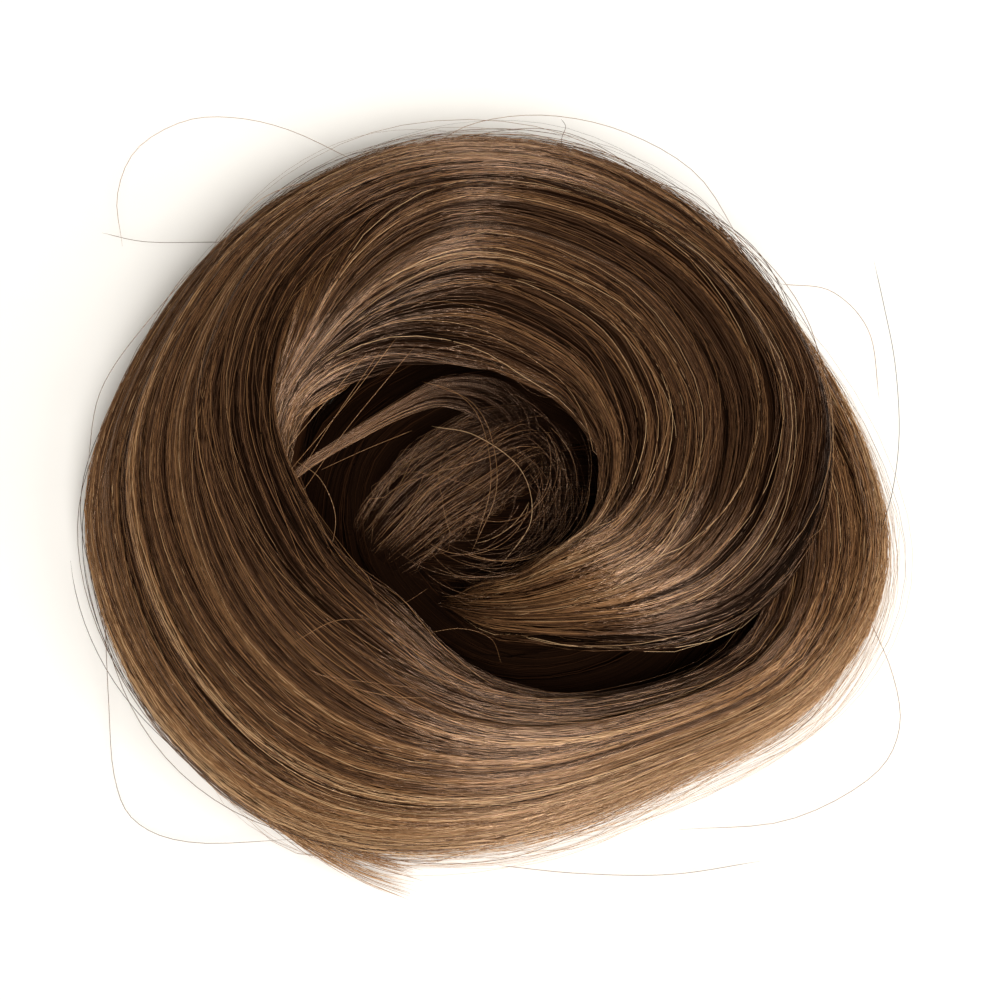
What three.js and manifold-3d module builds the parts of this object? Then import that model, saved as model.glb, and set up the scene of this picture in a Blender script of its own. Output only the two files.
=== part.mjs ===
// A clip-in hair extension, wound into a round nest as it is put away.
// Millimetres, +Z up. The nest lies on z = 0 and is centred on the origin, seen from above.

import * as THREE from "three";
import { mergeVertices } from "three/addons/utils/BufferGeometryUtils.js";
import Module from "manifold-3d";

const wasm = await Module();
wasm.setup();

// Driving sizes.
const CLEARANCE = 0.3; // gap between two pieces that lie against each other
const FLOOR = { side: 240, depth: 20 }; // the block that flattens the underside
const FACET_TOLERANCE = 0.05; // facets finer than this are merged
const WELD_DISTANCE = 0.001; // corners nearer than this are one
const OVERCUT = 2; // how far a cut passes the surface that it opens

const CLIP = { length: 30, width: 10, thickness: 1.2, corner: 4.5, corner_steps: 6 };
const COMB = { slots: 6, slot_width: 1.6, slot_length: 5 };
const WEFT = { length: 34, depth: 10, thickness: 5, corner: 1.6, corner_steps: 3 };
const ROOT_ROLL = { length: 30, depth: 7, thickness: 9 };
const WEFT_CENTRE = { x: -48, y: -13 };

// Finishes of the three pieces.
const HAIR_FINISH = { color: 0x4a2f1e, roughness: 0.45 };
const WEFT_FINISH = { color: 0x3a261a, roughness: 0.9 };
const CLIP_FINISH = { color: 0x2b211c, roughness: 0.4, metalness: 0.6 };

// The wound locks. turn: degrees clockwise from the left, where the roots lie.
// radius and height: the middle of the section. width: along the radius. thickness: across it.
// roll: degrees by which the outer edge is tipped down.
const WOUND_COLUMNS = ["turn", "radius", "height", "width", "thickness", "roll"];

// From the roots, low under the crown lock, out at the right, along the front and over the left side.
const RING_ROWS = [
  [-6, 50, 6, 26, 12, 0],
  [40, 55, 6, 28, 14, 4],
  [90, 59, 7, 32, 15, 8],
  [135, 62, 7.5, 34, 16, 12],
  [180, 65, 8.5, 34, 18, 16],
  [210, 67, 9.5, 21, 20, 14],
  [240, 57, 10.5, 21, 20, 14],
  [270, 54, 11.5, 33, 22, 20],
  [300, 54, 13, 50, 22, 26],
  [330, 56, 15, 52, 21, 28],
  [360, 60, 17, 50, 20, 32],
  [385, 63, 19, 39, 18, 38],
  [410, 68, 20, 30, 15, 42],
  [435, 73, 19, 22, 12, 44],
  [460, 74.5, 18, 17, 10, 42],
  [485, 73, 17, 12, 8, 38],
  [510, 71, 15, 8, 6, 32],
  [535, 69, 13, 4, 4, 24],
];
const RING_PASS = 5; // the row where the lock comes out from under the crown lock

// From the roots, over the top and the right, and down into the eye.
const CROWN_ROWS = [
  [-4, 51, 10, 22, 12, 0],
  [25, 55, 13, 29, 16, 10],
  [50, 54, 17, 41, 20, 14],
  [75, 52, 18, 51, 22, 14],
  [100, 50, 19, 54, 23, 13],
  [130, 49, 20, 53, 23, 11],
  [160, 48, 21, 51, 22, 9],
  [185, 45, 22, 45, 21, 8],
  [205, 41, 22, 38, 20, 10],
  [221, 35, 21, 30, 19, 14],
  [237, 29, 19, 21, 17, 20],
  [255, 25, 16, 14, 14, 26],
  [275, 23, 13, 11, 11, 30],
  [295, 23, 10, 7, 7, 30],
];

// The innermost turn, flat on the floor round the eye.
const BED_ROWS = [
  [150, 37, 4, 30, 10, 0],
  [195, 40, 4, 42, 10, 0],
  [230, 40, 4, 42, 10, 0],
  [270, 34, 4, 36, 10, 0],
  [330, 28, 4, 32, 10, 0],
  [390, 28, 4, 30, 10, 0],
  [450, 30, 4, 28, 10, 0],
  [500, 32, 4, 24, 10, 0],
];

// The locks that don't wind. x, y and height: the middle of the section, which stands across the run.
const LAID_COLUMNS = ["x", "y", "height", "width", "thickness", "roll"];

// The lowest lock, straight across the floor of the eye.
const SILL_ROWS = [
  [32, 2, 4, 34, 10, 0],
  [14, 1, 4, 40, 10, 0],
  [-8, -1, 4, 34, 10, 0],
  [-30, -4, 4, 26, 10, 0],
];

// Cut tips that lie in the eye, brushed down towards the left.
const CORE_ROWS = [
  [14, 17, 9, 14, 8, 0],
  [6, 14, 11, 18, 11, 0],
  [-3, 8, 12, 21, 12, 0],
  [-11, 2, 11.5, 21, 10, 0],
  [-18, -5, 9.5, 19, 7, 0],
  [-23, -10, 7.5, 15, 3, 0],
];

// A thin lock that crosses the far side of the eye and sinks into it.
const PALE_ROWS = [
  [-44, -2, 18, 2, 3, 0],
  [-36, 5, 19.5, 2.5, 3, 0],
  [-27, 11, 20, 3, 3.5, 0],
  [-18, 17, 19.5, 4, 4, 0],
  [-10, 21.5, 18.5, 6.5, 4.5, 0],
  [-2, 22, 17, 9.5, 5, 0],
  [4, 19.5, 15.5, 10.5, 5, 0],
  [7, 15.5, 14, 9, 4.5, 0],
  [7, 11, 12, 6, 4, 0],
];

// Tips that stand out from the front edge.
const WISP_ROWS = [
  [-60, -43, 6, 6, 4, 0],
  [-47, -57, 4, 6, 4, 0],
  [-35, -66, 3, 5, 3, 0],
  [-23, -72, 2.4, 4, 2.4, 0],
  [-12, -75, 1.8, 2, 1.6, 0],
];

// How each lock is faceted and ribbed. lobes: its ridges. depth: how deep the furrows between them are.
const LOCKS = {
  ring: { rows: RING_ROWS, wound: true, steps_per_row: 4, lobes: 9, depth: 1.5, drift: 60 },
  crown: { rows: CROWN_ROWS, wound: true, steps_per_row: 4, lobes: 9, depth: 1.5, drift: 50 },
  bed: { rows: BED_ROWS, wound: true, steps_per_row: 4, lobes: 4, depth: 0.5, drift: 30 },
  sill: { rows: SILL_ROWS, wound: false, steps_per_row: 3, lobes: 4, depth: 0.5, drift: 10 },
  core: { rows: CORE_ROWS, wound: false, steps_per_row: 3, lobes: 5, depth: 0.8, drift: 20 },
  pale: { rows: PALE_ROWS, wound: false, steps_per_row: 3, lobes: 3, depth: 0.3, drift: 40 },
  wisp: { rows: WISP_ROWS, wound: false, steps_per_row: 3, lobes: 2, depth: 0.3, drift: 20 },
};
const SIDES_PER_LOBE = 4;
const FURROW_SHARE = { mean: 0.65, change: 0.35, step: 2.4 }; // how the furrows differ in depth
const CURVE_TENSION = 0.5;

const UP = new THREE.Vector3(0, 0, 1);

// Rows of bare numbers as objects with the columns' names.
function table(columns, rows) {
  return rows.map((row) => Object.fromEntries(columns.map((name, i) => [name, row[i]])));
}

function smoothCurve(points) {
  return new THREE.CatmullRomCurve3(points, false, "catmullrom", CURVE_TENSION);
}

// The middle of one section of a lock.
function sectionCentre(row) {
  if (row.turn === undefined) return new THREE.Vector3(row.x, row.y, row.height);
  const turn = THREE.MathUtils.degToRad(row.turn);
  return new THREE.Vector3(-row.radius * Math.cos(turn), row.radius * Math.sin(turn), row.height);
}

// A lock as a function of the share of its run, which gives the section's frame and size there.
function lockRun({ rows, wound }) {
  const named = table(wound ? WOUND_COLUMNS : LAID_COLUMNS, rows);
  const middle = smoothCurve(named.map(sectionCentre));
  const sizes = smoothCurve(named.map((r) => new THREE.Vector3(r.width, r.thickness, r.roll)));
  return (share) => {
    const centre = middle.getPoint(share);
    const run = middle.getTangent(share);
    const outward = wound
      ? new THREE.Vector3(centre.x, centre.y, 0).normalize()
      : new THREE.Vector3().crossVectors(UP, run).normalize();
    const size = sizes.getPoint(share);
    const roll = THREE.MathUtils.degToRad(size.z);
    const across = outward.clone().multiplyScalar(Math.cos(roll)).addScaledVector(UP, -Math.sin(roll));
    const over = outward.clone().multiplyScalar(Math.sin(roll)).addScaledVector(UP, Math.cos(roll));
    return { centre, across, over, halfWidth: size.x / 2, halfThickness: size.y / 2 };
  };
}

// How far a furrow between two ridges draws the surface in, at an angle round the section.
function furrow(angle, lobes, depth) {
  const ridge = Math.floor((angle / (2 * Math.PI)) * lobes);
  const share = FURROW_SHARE.mean + FURROW_SHARE.change * Math.sin(FURROW_SHARE.step * ridge);
  return depth * share * Math.sin((angle * lobes) / 2) ** 2;
}

// One lock between two of its rows: a closed cylinder whose wall is carried along the run.
function lockSolid(lock, firstRow = 0, lastRow = lock.rows.length - 1) {
  const frameAt = lockRun(lock);
  const lastIndex = lock.rows.length - 1;
  const steps = (lastRow - firstRow) * lock.steps_per_row;
  const geometry = new THREE.CylinderGeometry(1, 1, 1, lock.lobes * SIDES_PER_LOBE, steps);
  const position = geometry.getAttribute("position");
  for (let i = 0; i < position.count; i++) {
    const along = 0.5 - position.getY(i);
    const share = (firstRow + along * (lastRow - firstRow)) / lastIndex;
    const reach = Math.hypot(position.getX(i), position.getZ(i));
    const angle = Math.atan2(position.getX(i), position.getZ(i));
    const { centre, across, over, halfWidth, halfThickness } = frameAt(share);
    const drawn = furrow(angle, lock.lobes, lock.depth);
    const turned = angle + THREE.MathUtils.degToRad(lock.drift) * share;
    const a = reach * Math.max(halfWidth - drawn, halfWidth / 2) * Math.cos(turned);
    const b = reach * Math.max(halfThickness - drawn, halfThickness / 2) * Math.sin(turned);
    const point = centre.clone().addScaledVector(across, a).addScaledVector(over, b);
    position.setXYZ(i, point.x, point.y, point.z);
  }
  return solidOf(geometry);
}

// A three.js geometry as a manifold-3d solid with its faces pointing out.
function solidOf(geometry) {
  const bare = new THREE.BufferGeometry();
  bare.setAttribute("position", geometry.getAttribute("position"));
  bare.setIndex(geometry.getIndex());
  const merged = mergeVertices(bare, WELD_DISTANCE);
  const triVerts = new Uint32Array(merged.getIndex().array);
  const vertProperties = merged.getAttribute("position").array;
  const solid = new wasm.Manifold(new wasm.Mesh({ numProp: 3, vertProperties, triVerts }));
  if (solid.volume() > 0) return solid;
  for (let i = 0; i < triVerts.length; i += 3) {
    [triVerts[i + 1], triVerts[i + 2]] = [triVerts[i + 2], triVerts[i + 1]];
  }
  return new wasm.Manifold(new wasm.Mesh({ numProp: 3, vertProperties, triVerts }));
}

// A manifold-3d solid as a three.js geometry.
function geometryOf(solid) {
  const mesh = solid.getMesh();
  const geometry = new THREE.BufferGeometry();
  geometry.setAttribute("position", new THREE.BufferAttribute(new Float32Array(mesh.vertProperties), 3));
  geometry.setIndex(new THREE.BufferAttribute(new Uint32Array(mesh.triVerts), 1));
  geometry.computeVertexNormals();
  return geometry;
}

function boxAt(x, y, z, width, depth, height) {
  return new THREE.BoxGeometry(width, depth, height).translate(x, y, z);
}

function roundedRectangle(width, height, corner) {
  const w = width / 2;
  const h = height / 2;
  return new THREE.Shape()
    .absarc(w - corner, -h + corner, corner, -Math.PI / 2, 0)
    .absarc(w - corner, h - corner, corner, 0, Math.PI / 2)
    .absarc(-w + corner, h - corner, corner, Math.PI / 2, Math.PI)
    .absarc(-w + corner, -h + corner, corner, Math.PI, 1.5 * Math.PI);
}

const weftBottom = CLIP.thickness + CLEARANCE;
const weftMiddle = weftBottom + WEFT.thickness / 2;

// The sewn band at the roots, folded flat, lying along X.
function weftGeometry() {
  const section = roundedRectangle(WEFT.depth, WEFT.thickness, WEFT.corner);
  const extrusion = { depth: WEFT.length, bevelEnabled: false, curveSegments: WEFT.corner_steps };
  return new THREE.ExtrudeGeometry(section, extrusion)
    .translate(0, 0, -WEFT.length / 2)
    .rotateX(Math.PI / 2)
    .rotateZ(Math.PI / 2)
    .translate(WEFT_CENTRE.x, WEFT_CENTRE.y, weftMiddle);
}

// The clip, one flat comb plate against the underside of the weft.
function clipSolid() {
  const outline = roundedRectangle(CLIP.length, CLIP.width, CLIP.corner);
  const extrusion = { depth: CLIP.thickness, bevelEnabled: false, curveSegments: CLIP.corner_steps };
  const plate = new THREE.ExtrudeGeometry(outline, extrusion).translate(WEFT_CENTRE.x, WEFT_CENTRE.y, 0);
  const pitch = (CLIP.length - CLIP.width) / COMB.slots;
  const slotHeight = 2 * (CLIP.thickness + OVERCUT);
  let comb = solidOf(plate);
  for (let i = 0; i < COMB.slots; i++) {
    const x = WEFT_CENTRE.x + (i - (COMB.slots - 1) / 2) * pitch;
    const slot = boxAt(x, WEFT_CENTRE.y, 0, COMB.slot_width, COMB.slot_length, slotHeight);
    comb = comb.subtract(solidOf(slot));
  }
  return comb;
}

// The gathered roots, which every lock of the hank is fused to.
function rootRollGeometry() {
  const { length, depth, thickness } = ROOT_ROLL;
  const y = WEFT_CENTRE.y + WEFT.depth / 2 + depth / 2;
  return boxAt(WEFT_CENTRE.x, y, thickness / 2, length, depth, thickness);
}

// The space that the weft and the clip take, with their clearance, open to the floor.
function fittingPocket() {
  const height = weftBottom + WEFT.thickness + CLEARANCE;
  const width = WEFT.length + 2 * CLEARANCE;
  const depth = WEFT.depth + 2 * CLEARANCE;
  const middle = (height - OVERCUT) / 2;
  return solidOf(boxAt(WEFT_CENTRE.x, WEFT_CENTRE.y, middle, width, depth, height + OVERCUT));
}

function hairSolid() {
  const floor = solidOf(boxAt(0, 0, -FLOOR.depth / 2, FLOOR.side, FLOOR.side, FLOOR.depth));
  return lockSolid(LOCKS.ring, 0, RING_PASS)
    .add(lockSolid(LOCKS.ring, RING_PASS))
    .add(lockSolid(LOCKS.crown))
    .add(lockSolid(LOCKS.bed))
    .add(lockSolid(LOCKS.sill))
    .add(lockSolid(LOCKS.core))
    .add(lockSolid(LOCKS.pale))
    .add(lockSolid(LOCKS.wisp))
    .add(solidOf(rootRollGeometry()))
    .subtract(fittingPocket())
    .subtract(floor)
    .asOriginal()
    .simplify(FACET_TOLERANCE);
}

function piece(name, geometry, finish) {
  const mesh = new THREE.Mesh(geometry, new THREE.MeshStandardMaterial(finish));
  mesh.name = name;
  return mesh;
}

const extension = new THREE.Group();
extension.add(
  piece("hair_hank", geometryOf(hairSolid()), HAIR_FINISH),
  piece("weft_band", weftGeometry(), WEFT_FINISH),
  piece("snap_clip", geometryOf(clipSolid()), CLIP_FINISH),
);

// Seen from above, the whole piece is centred on the origin.
const box = new THREE.Box3().setFromObject(extension);
const middle = box.getCenter(new THREE.Vector3());
extension.position.set(-middle.x, -middle.y, -box.min.z);

export default extension;
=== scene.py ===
"""A clip-in hair extension, wound into a round nest: its strands, sewn weft, comb clip and studio."""

import math

import bpy
import numpy as np
from bpy.props import FloatProperty, FloatVectorProperty, IntProperty, PointerProperty
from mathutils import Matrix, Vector


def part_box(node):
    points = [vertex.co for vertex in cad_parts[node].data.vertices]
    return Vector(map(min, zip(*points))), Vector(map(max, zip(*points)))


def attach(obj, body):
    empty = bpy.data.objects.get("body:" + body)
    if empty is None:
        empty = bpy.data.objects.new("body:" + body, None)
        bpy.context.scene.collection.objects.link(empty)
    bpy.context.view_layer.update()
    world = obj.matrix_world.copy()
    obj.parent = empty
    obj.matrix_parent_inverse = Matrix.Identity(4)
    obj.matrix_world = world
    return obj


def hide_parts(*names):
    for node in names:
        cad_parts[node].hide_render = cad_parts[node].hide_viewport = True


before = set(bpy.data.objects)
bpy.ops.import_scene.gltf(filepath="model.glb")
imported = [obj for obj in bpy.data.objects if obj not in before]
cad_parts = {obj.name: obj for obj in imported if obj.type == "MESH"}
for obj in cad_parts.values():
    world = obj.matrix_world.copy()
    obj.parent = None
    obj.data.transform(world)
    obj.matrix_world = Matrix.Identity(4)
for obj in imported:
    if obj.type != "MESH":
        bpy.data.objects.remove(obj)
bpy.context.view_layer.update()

bl_info = {
    "name": "Wound Hair Extension",
    "version": (1, 0, 0),
    "blender": (4, 5, 0),
    "location": "View3D > Sidebar > Nest",
    "description": "Dresses the wound hank of a hair extension and sets it on a pale floor",
    "category": "Object",
}

UP = np.array([0.0, 0.0, 1.0])
BAKE_MAP = "OFBake"

# The nest's axis, found from the middle of the weft. All lock tables are laid about it.
WEFT_FROM_AXIS = (-0.048, -0.013)
weft_low, weft_high = (np.array(corner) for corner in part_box("weft_band"))
AXIS = (weft_low + weft_high)[:2] / 2 - np.array(WEFT_FROM_AXIS)

# The wound locks. Columns: turn in degrees clockwise from the left, then in metres the radius
# and height of the section's middle, its width and its thickness, and last its roll in degrees,
# by which the outer edge is tipped down.
RING_ROWS = (
    (-6, 0.050, 0.006, 0.026, 0.012, 0),
    (40, 0.055, 0.006, 0.028, 0.014, 4),
    (90, 0.059, 0.007, 0.032, 0.015, 8),
    (135, 0.062, 0.0075, 0.034, 0.016, 12),
    (180, 0.065, 0.0085, 0.034, 0.018, 16),
    (210, 0.067, 0.0095, 0.021, 0.020, 14),
    (240, 0.057, 0.0105, 0.021, 0.020, 14),
    (270, 0.054, 0.0115, 0.033, 0.022, 20),
    (300, 0.054, 0.013, 0.050, 0.022, 26),
    (330, 0.056, 0.015, 0.052, 0.021, 28),
    (360, 0.060, 0.017, 0.050, 0.020, 32),
    (385, 0.063, 0.019, 0.039, 0.018, 38),
    (410, 0.068, 0.020, 0.030, 0.015, 42),
    (435, 0.073, 0.019, 0.022, 0.012, 44),
    (460, 0.0745, 0.018, 0.017, 0.010, 42),
    (485, 0.073, 0.017, 0.012, 0.008, 38),
    (510, 0.071, 0.015, 0.008, 0.006, 32),
    (535, 0.069, 0.013, 0.004, 0.004, 24),
)
CROWN_ROWS = (
    (-4, 0.051, 0.010, 0.022, 0.012, 0),
    (25, 0.055, 0.013, 0.029, 0.016, 10),
    (50, 0.054, 0.017, 0.041, 0.020, 14),
    (75, 0.052, 0.018, 0.051, 0.022, 14),
    (100, 0.050, 0.019, 0.054, 0.023, 13),
    (130, 0.049, 0.020, 0.053, 0.023, 11),
    (160, 0.048, 0.021, 0.051, 0.022, 9),
    (185, 0.045, 0.022, 0.045, 0.021, 8),
    (205, 0.041, 0.022, 0.038, 0.020, 10),
    (221, 0.035, 0.021, 0.030, 0.019, 14),
    (237, 0.029, 0.019, 0.021, 0.017, 20),
    (255, 0.025, 0.016, 0.014, 0.014, 26),
    (275, 0.023, 0.013, 0.011, 0.011, 30),
    (295, 0.023, 0.010, 0.007, 0.007, 30),
)
BED_ROWS = (
    (150, 0.037, 0.004, 0.030, 0.010, 0),
    (195, 0.040, 0.004, 0.042, 0.010, 0),
    (230, 0.040, 0.004, 0.042, 0.010, 0),
    (270, 0.034, 0.004, 0.036, 0.010, 0),
    (330, 0.028, 0.004, 0.032, 0.010, 0),
    (390, 0.028, 0.004, 0.030, 0.010, 0),
    (450, 0.030, 0.004, 0.028, 0.010, 0),
    (500, 0.032, 0.004, 0.024, 0.010, 0),
)

# The locks that don't wind. Columns: x, y and height of the section's middle from the nest's axis,
# its width and its thickness in metres, and its roll in degrees.
SILL_ROWS = (
    (0.032, 0.002, 0.004, 0.034, 0.010, 0),
    (0.014, 0.001, 0.004, 0.040, 0.010, 0),
    (-0.008, -0.001, 0.004, 0.034, 0.010, 0),
    (-0.030, -0.004, 0.004, 0.026, 0.010, 0),
)
CORE_ROWS = (
    (0.014, 0.017, 0.009, 0.014, 0.008, 0),
    (0.006, 0.014, 0.011, 0.018, 0.011, 0),
    (-0.003, 0.008, 0.012, 0.021, 0.012, 0),
    (-0.011, 0.002, 0.0115, 0.021, 0.010, 0),
    (-0.018, -0.005, 0.0095, 0.019, 0.007, 0),
    (-0.023, -0.010, 0.0075, 0.015, 0.003, 0),
)
PALE_ROWS = (
    (-0.044, -0.002, 0.018, 0.002, 0.003, 0),
    (-0.036, 0.005, 0.0195, 0.0025, 0.003, 0),
    (-0.027, 0.011, 0.020, 0.003, 0.0035, 0),
    (-0.018, 0.017, 0.0195, 0.004, 0.004, 0),
    (-0.010, 0.0215, 0.0185, 0.0065, 0.0045, 0),
    (-0.002, 0.022, 0.017, 0.0095, 0.005, 0),
    (0.004, 0.0195, 0.0155, 0.0105, 0.005, 0),
    (0.007, 0.0155, 0.014, 0.009, 0.0045, 0),
    (0.007, 0.011, 0.012, 0.006, 0.004, 0),
)
WISP_ROWS = (
    (-0.060, -0.043, 0.006, 0.006, 0.004, 0),
    (-0.047, -0.057, 0.004, 0.006, 0.004, 0),
    (-0.035, -0.066, 0.003, 0.005, 0.003, 0),
    (-0.023, -0.072, 0.0024, 0.004, 0.0024, 0),
    (-0.012, -0.075, 0.0018, 0.002, 0.0016, 0),
)

# Painted light and shade on the hair: what lightens the tone where a side of a lock is lit or shows a
# highlight, and darkens it where the lock lies in shade. Columns: share of the run, then what is added to
# the tone on the lock's inner side, on its top and on its outer side.
NO_PAINTED_SHADING = (
    (0.0, 0.0, 0.0, 0.0),
)
# The ring: painted shade on its inner side, under the crown, and painted light on its outer side along the
# front.
RING_PAINTED_SHADING = (
    (0.20, -0.45, -0.07, 0.33),
    (0.30, -0.45, 0.07, 0.55),
    (0.38, -0.20, 0.11, 0.58),
    (0.46, -0.20, 0.05, 0.54),
    (0.55, -0.46, 0.0, 0.28),
    (0.65, -0.29, 0.0, 0.05),
    (0.80, -0.12, 0.13, 0.12),
    (1.0, 0.0, -0.02, 0.0),
)
# The crown: painted highlights where it leaves the roots and on the inner curl, and painted shade where it
# passes under the left side, over its top and right, and on the curl's outer side.
CROWN_PAINTED_SHADING = (
    (0.05, 0.14, 0.10, 0.0),
    (0.10, 0.06, 0.12, 0.0),
    (0.15, -0.36, 0.08, 0.0),
    (0.21, -0.38, -0.02, 0.0),
    (0.28, -0.08, -0.04, 0.04),
    (0.40, -0.03, -0.08, -0.06),
    (0.55, 0.02, -0.11, -0.40),
    (0.63, 0.22, 0.06, -0.45),
    (0.72, 0.35, 0.25, -0.45),
    (0.85, 0.25, 0.18, -0.36),
    (1.0, 0.0, -0.05, -0.40),
)
# The hook: painted light where it starts, and painted shade that deepens towards its end under the crown.
HOOK_PAINTED_SHADING = (
    (0.0, 0.08, 0.08, 0.08),
    (0.35, 0.05, 0.05, 0.05),
    (0.50, -0.18, -0.18, -0.18),
    (0.70, -0.34, -0.34, -0.34),
    (1.0, -0.42, -0.42, -0.42),
)
# The tuft: painted shade where it starts, and painted light further along.
TUFT_PAINTED_SHADING = (
    (0.0, -0.25, -0.25, -0.25),
    (0.35, -0.08, -0.05, -0.08),
    (0.70, 0.06, 0.08, 0.06),
    (1.0, 0.0, 0.02, 0.0),
)

# The crown's strands come up in a tight sheaf and open out over the top: the shares of the run between
# which they do, the angle round the section that they open from, and the spread that they start with.
CROWN_OPENS = (0.06, 0.29, 2.5, 0.15)

# Single hairs that stand off the nest. Columns: turn in degrees, radius and height in metres.
LOOSE_ROUTES = {
    "top_left_loop": (
        (70, 0.082, 0.016), (64, 0.095, 0.014), (59, 0.104, 0.013), (54, 0.110, 0.012),
        (48, 0.112, 0.010), (43, 0.108, 0.007), (39, 0.100, 0.004),
    ),
    "upper_left": ((50, 0.074, 0.018), (46, 0.083, 0.012), (41, 0.096, 0.006), (39, 0.106, 0.003)),
    "top_arch": (
        (80, 0.079, 0.018), (88, 0.086, 0.016), (98, 0.0895, 0.015), (109, 0.0895, 0.015),
        (121, 0.086, 0.016), (134, 0.077, 0.018),
    ),
    "top_spur": ((102, 0.076, 0.019), (101, 0.083, 0.017), (101, 0.088, 0.014), (100, 0.092, 0.010)),
    "right_rise": (
        (184, 0.080, 0.010), (177, 0.083, 0.010), (168, 0.087, 0.008), (158, 0.092, 0.006),
        (150, 0.097, 0.004), (144, 0.102, 0.003),
    ),
    "right_short": ((143, 0.076, 0.020), (148, 0.084, 0.019), (155, 0.087, 0.016), (164, 0.084, 0.012)),
    "lower_left_loop": (
        (345, 0.079, 0.012), (332, 0.085, 0.007), (323, 0.092, 0.003), (317, 0.094, 0.002),
        (310, 0.089, 0.002), (298, 0.077, 0.004),
    ),
    "lower_right_loop": (
        (196, 0.078, 0.012), (203, 0.088, 0.007), (209, 0.094, 0.004), (216, 0.094, 0.003),
        (227, 0.087, 0.002), (240, 0.076, 0.003),
    ),
    "left_side": ((48, 0.078, 0.022), (32, 0.079, 0.018), (18, 0.083, 0.013), (6, 0.082, 0.010)),
    "short_gold": ((316, 0.052, 0.028), (312, 0.044, 0.031), (306, 0.039, 0.029)),
    "floor_right": ((268, 0.074, 0.006), (256, 0.077, 0.003), (244, 0.083, 0.002), (233, 0.090, 0.002)),
}

# Single hairs that cross the eye. Columns: x, y and height in metres from the nest's axis.
EYE_ROUTES = {
    "over_hook": ((-0.039, 0.001, 0.026), (-0.029, 0.015, 0.025), (-0.018, 0.029, 0.029)),
    "over_hook_left": ((-0.041, 0.004, 0.026), (-0.033, 0.015, 0.026), (-0.024, 0.026, 0.028)),
    "over_hook_right": ((-0.036, -0.003, 0.026), (-0.028, 0.011, 0.024), (-0.014, 0.028, 0.028)),
    "hook_twin": ((-0.038, -0.001, 0.025), (-0.031, 0.012, 0.025), (-0.021, 0.027, 0.028)),
    "under_hook": ((-0.033, 0.004, 0.020), (-0.024, 0.009, 0.019), (-0.015, 0.0135, 0.018)),
    "long_arc": (
        (-0.013, 0.0235, 0.020), (-0.006, 0.0205, 0.021), (-0.001, 0.014, 0.021), (0.001, 0.0015, 0.020),
        (-0.002, -0.0105, 0.017),
    ),
    "twin_arc": (
        (-0.010, 0.0225, 0.020), (-0.003, 0.0185, 0.021), (0.001, 0.011, 0.021), (0.002, -0.001, 0.020),
        (-0.003, -0.0125, 0.016),
    ),
    "wide_arc": (
        (-0.011, 0.014, 0.019), (-0.002, 0.011, 0.021), (0.007, 0.0035, 0.021), (0.009, -0.007, 0.020),
        (0.003, -0.0155, 0.017),
    ),
    "left_drop": (
        (-0.038, 0.005, 0.022), (-0.033, 0.001, 0.022), (-0.030, -0.006, 0.020), (-0.031, -0.014, 0.018),
    ),
    "white_arc": ((-0.021, -0.020, 0.014), (-0.017, -0.0225, 0.014), (-0.0115, -0.020, 0.016)),
    "crescent": (
        (-0.013, -0.029, 0.014), (-0.005, -0.0285, 0.016), (0.001, -0.031, 0.017), (0.003, -0.037, 0.020),
    ),
    "band_cross": (
        (-0.033, -0.043, 0.030), (-0.025, -0.0445, 0.0305), (-0.017, -0.045, 0.029), (-0.012, -0.045, 0.027),
    ),
    "band_cross_low": (
        (-0.034, -0.042, 0.030), (-0.026, -0.0455, 0.030), (-0.018, -0.047, 0.0285), (-0.011, -0.0465, 0.026),
    ),
}

# How strands lie on any lock. A ripple has a range of ridges round the section, a range of cycles along the
# run and a number of terms. A wave has a range of cycles along the run and a size: the first two sizes are
# shares of the meander, and the third is in metres.
FLOW_RIPPLE = ((2, 9), (-1.5, 1.5), 7)
RIDGE_RIPPLE = ((8, 30), (-1.2, 1.2), 7)
BAND_RIPPLE = ((5, 40), (-1.0, 1.0), 9)
WISP_WAVE = ((0.8, 2.2), 0.25)
STRAND_WAVE = ((1.0, 3.0), 0.10)
WISP_RISE = ((1.0, 2.5), 0.00015)

# How far a stray strand is off its course at its two ends, at most, and the share of that which raises it.
CROSSING_REACH = 0.009
CROSSING_RISE = 0.06

# The half width up to which a lock's strands meander less, and the least surface for each radian round it.
FULL_HALF_WIDTH = 0.010
LEAST_ROUND = 0.002

# The shares of a strand's run over which its two ends sink and over which they thin out, and what share of
# the width is left there.
SINKING_ENDS = (0.06, 0.08)
THINNING_ENDS = (0.04, 0.10)
END_WIDTH = 0.25

# The most that the square of a strand's place across its wisp counts for as it sinks, and the most that
# chance counts for as it bows off the lock.
CLUMP_LIMIT = 4
FLUFF_LIMIT = 3

# The tones that the strands of a lock may have.
TONE_RANGE = (0.02, 0.98)

# Where on a strand's column of its map the first corner lies, where the corners of its end faces lie, and
# their height there.
MAP_MARGIN = 0.1
CAP_CORNERS = (0.2, 0.5, 0.8)
CAP_HEIGHT = 0.002

# How far the noise of a piece runs from its first strand to its last, how much it changes a strand's tone,
# and the share of the gloss that the darkest strands have.
NOISE_ROWS = 97.0
TONE_DRIFT = 0.08
DARK_GLOSS = 0.03

# The spacing of a wave texture's bands at scale 1, how much lighter lint is than its yarn, and how far above
# its level a fleck is full.
WAVE_SPACING = 0.314
LINT_LIGHTENS = 3
FLECK_EDGE = 0.08

# The ring passes from its low part to its high one at this row of its table, and the crown's dense hair ends
# at this share of its run.
RING_PASS_ROW = 5
CROWN_CORE_END = 0.90

# The stretches of the ring that hairs round the rim start from: the front, all round, and the top.
RIM_STRETCHES = ((0.26, 0.50), (0.28, 0.86), (0.68, 0.90))

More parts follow.
